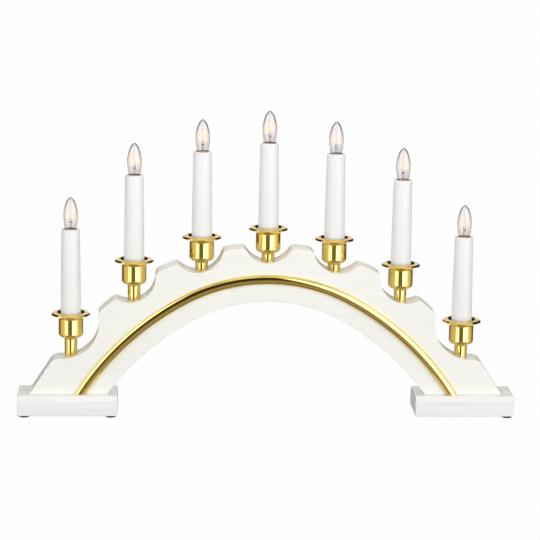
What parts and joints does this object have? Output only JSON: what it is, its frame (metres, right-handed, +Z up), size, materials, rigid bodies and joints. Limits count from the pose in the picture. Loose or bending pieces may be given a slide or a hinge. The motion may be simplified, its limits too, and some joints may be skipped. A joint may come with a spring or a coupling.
{
  "type": "electric candle arch",
  "caption": "Wooden candle arch on base blocks, with a scalloped top, brass cups and trim, and electric candles whose flame-shaped lamps unscrew.",
  "frame": {"origin": "middle of the object at the floor, under its bounding box", "axes": "+X along the arch to the viewer's right, -Y towards the front with the brass trim, +Z up"},
  "size_m": [0.51, 0.052, 0.3142],
  "materials": {
    "white_lacquer": "satin white lacquer",
    "polished_brass": "polished",
    "candle_plastic": "semi-gloss",
    "holder_plastic": "matt",
    "bulb_glass": "clear",
    "lamp_metal": "bright",
    "screw_steel": "zinc plated",
    "foot_rubber": "matt",
    "wire_insulation": "satin",
    "gland_plastic": "satin"
  },
  "bodies": {
    "stand": {"arch_board": "white_lacquer", "base_left": "white_lacquer", "base_right": "white_lacquer", "brass_trim": "polished_brass", "cord_gland": "gland_plastic", "foot_left_outer_front": "foot_rubber", "foot_left_outer_back": "foot_rubber", "foot_left_inner_front": "foot_rubber", "foot_left_inner_back": "foot_rubber", "screw_left_inner": "screw_steel", "screw_left_outer": "screw_steel", "foot_right_outer_front": "foot_rubber", "foot_right_outer_back": "foot_rubber", "foot_right_inner_front": "foot_rubber", "foot_right_inner_back": "foot_rubber", "screw_right_inner": "screw_steel", "screw_right_outer": "screw_steel", "cup_1": "polished_brass", "candle_tube_1": "candle_plastic", "lamp_holder_1": "holder_plastic", "cup_2": "polished_brass", "candle_tube_2": "candle_plastic", "lamp_holder_2": "holder_plastic", "wire_link_1_2": "wire_insulation", "cup_3": "polished_brass", "candle_tube_3": "candle_plastic", "lamp_holder_3": "holder_plastic", "wire_link_2_3": "wire_insulation", "cup_4": "polished_brass", "candle_tube_4": "candle_plastic", "lamp_holder_4": "holder_plastic", "wire_link_3_4": "wire_insulation", "cup_5": "polished_brass", "candle_tube_5": "candle_plastic", "lamp_holder_5": "holder_plastic", "wire_link_4_5": "wire_insulation", "cup_6": "polished_brass", "candle_tube_6": "candle_plastic", "lamp_holder_6": "holder_plastic", "wire_link_5_6": "wire_insulation", "cup_7": "polished_brass", "candle_tube_7": "candle_plastic", "lamp_holder_7": "holder_plastic", "wire_link_6_7": "wire_insulation", "wire_feed": "wire_insulation", "wire_return": "wire_insulation"},
    "bulb_1": {"bulb_glass_1": "bulb_glass"},
    "bulb_base_1": {"bulb_cap_1": "lamp_metal"},
    "bulb_2": {"bulb_glass_2": "bulb_glass"},
    "bulb_base_2": {"bulb_cap_2": "lamp_metal"},
    "bulb_3": {"bulb_glass_3": "bulb_glass"},
    "bulb_base_3": {"bulb_cap_3": "lamp_metal"},
    "bulb_4": {"bulb_glass_4": "bulb_glass"},
    "bulb_base_4": {"bulb_cap_4": "lamp_metal"},
    "bulb_5": {"bulb_glass_5": "bulb_glass"},
    "bulb_base_5": {"bulb_cap_5": "lamp_metal"},
    "bulb_6": {"bulb_glass_6": "bulb_glass"},
    "bulb_base_6": {"bulb_cap_6": "lamp_metal"},
    "bulb_7": {"bulb_glass_7": "bulb_glass"},
    "bulb_base_7": {"bulb_cap_7": "lamp_metal"}
  },
  "joints": [
    {"name": "bulb_1_lift", "type": "slide", "parent": "stand", "child": "bulb_1", "axis": [0, 0, 1], "range_m": [0, 0.00905]},
    {"name": "bulb_1_turn", "type": "hinge", "parent": "bulb_1", "child": "bulb_base_1", "pos_m": [-0.2009, 0, 0.1], "axis": [0, 0, 1], "range_deg": [0, 1800]},
    {"name": "bulb_2_lift", "type": "slide", "parent": "stand", "child": "bulb_2", "axis": [0, 0, 1], "range_m": [0, 0.00905]},
    {"name": "bulb_2_turn", "type": "hinge", "parent": "bulb_2", "child": "bulb_base_2", "pos_m": [-0.1365, 0, 0.1], "axis": [0, 0, 1], "range_deg": [0, 1800]},
    {"name": "bulb_3_lift", "type": "slide", "parent": "stand", "child": "bulb_3", "axis": [0, 0, 1], "range_m": [0, 0.00905]},
    {"name": "bulb_3_turn", "type": "hinge", "parent": "bulb_3", "child": "bulb_base_3", "pos_m": [-0.0677, 0, 0.1], "axis": [0, 0, 1], "range_deg": [0, 1800]},
    {"name": "bulb_4_lift", "type": "slide", "parent": "stand", "child": "bulb_4", "axis": [0, 0, 1], "range_m": [0, 0.00905]},
    {"name": "bulb_4_turn", "type": "hinge", "parent": "bulb_4", "child": "bulb_base_4", "pos_m": [0, 0, 0.1], "axis": [0, 0, 1], "range_deg": [0, 1800]},
    {"name": "bulb_5_lift", "type": "slide", "parent": "stand", "child": "bulb_5", "axis": [0, 0, 1], "range_m": [0, 0.00905]},
    {"name": "bulb_5_turn", "type": "hinge", "parent": "bulb_5", "child": "bulb_base_5", "pos_m": [0.0677, 0, 0.1], "axis": [0, 0, 1], "range_deg": [0, 1800]},
    {"name": "bulb_6_lift", "type": "slide", "parent": "stand", "child": "bulb_6", "axis": [0, 0, 1], "range_m": [0, 0.00905]},
    {"name": "bulb_6_turn", "type": "hinge", "parent": "bulb_6", "child": "bulb_base_6", "pos_m": [0.1365, 0, 0.1], "axis": [0, 0, 1], "range_deg": [0, 1800]},
    {"name": "bulb_7_lift", "type": "slide", "parent": "stand", "child": "bulb_7", "axis": [0, 0, 1], "range_m": [0, 0.00905]},
    {"name": "bulb_7_turn", "type": "hinge", "parent": "bulb_7", "child": "bulb_base_7", "pos_m": [0.2009, 0, 0.1], "axis": [0, 0, 1], "range_deg": [0, 1800]}
  ],
  "couplings": [
    {"joint": "bulb_1_turn", "follows": "bulb_1_lift", "rad_per_m": 3471.4},
    {"joint": "bulb_2_turn", "follows": "bulb_2_lift", "rad_per_m": 3471.4},
    {"joint": "bulb_3_turn", "follows": "bulb_3_lift", "rad_per_m": 3471.4},
    {"joint": "bulb_4_turn", "follows": "bulb_4_lift", "rad_per_m": 3471.4},
    {"joint": "bulb_5_turn", "follows": "bulb_5_lift", "rad_per_m": 3471.4},
    {"joint": "bulb_6_turn", "follows": "bulb_6_lift", "rad_per_m": 3471.4},
    {"joint": "bulb_7_turn", "follows": "bulb_7_lift", "rad_per_m": 3471.4}
  ]
}
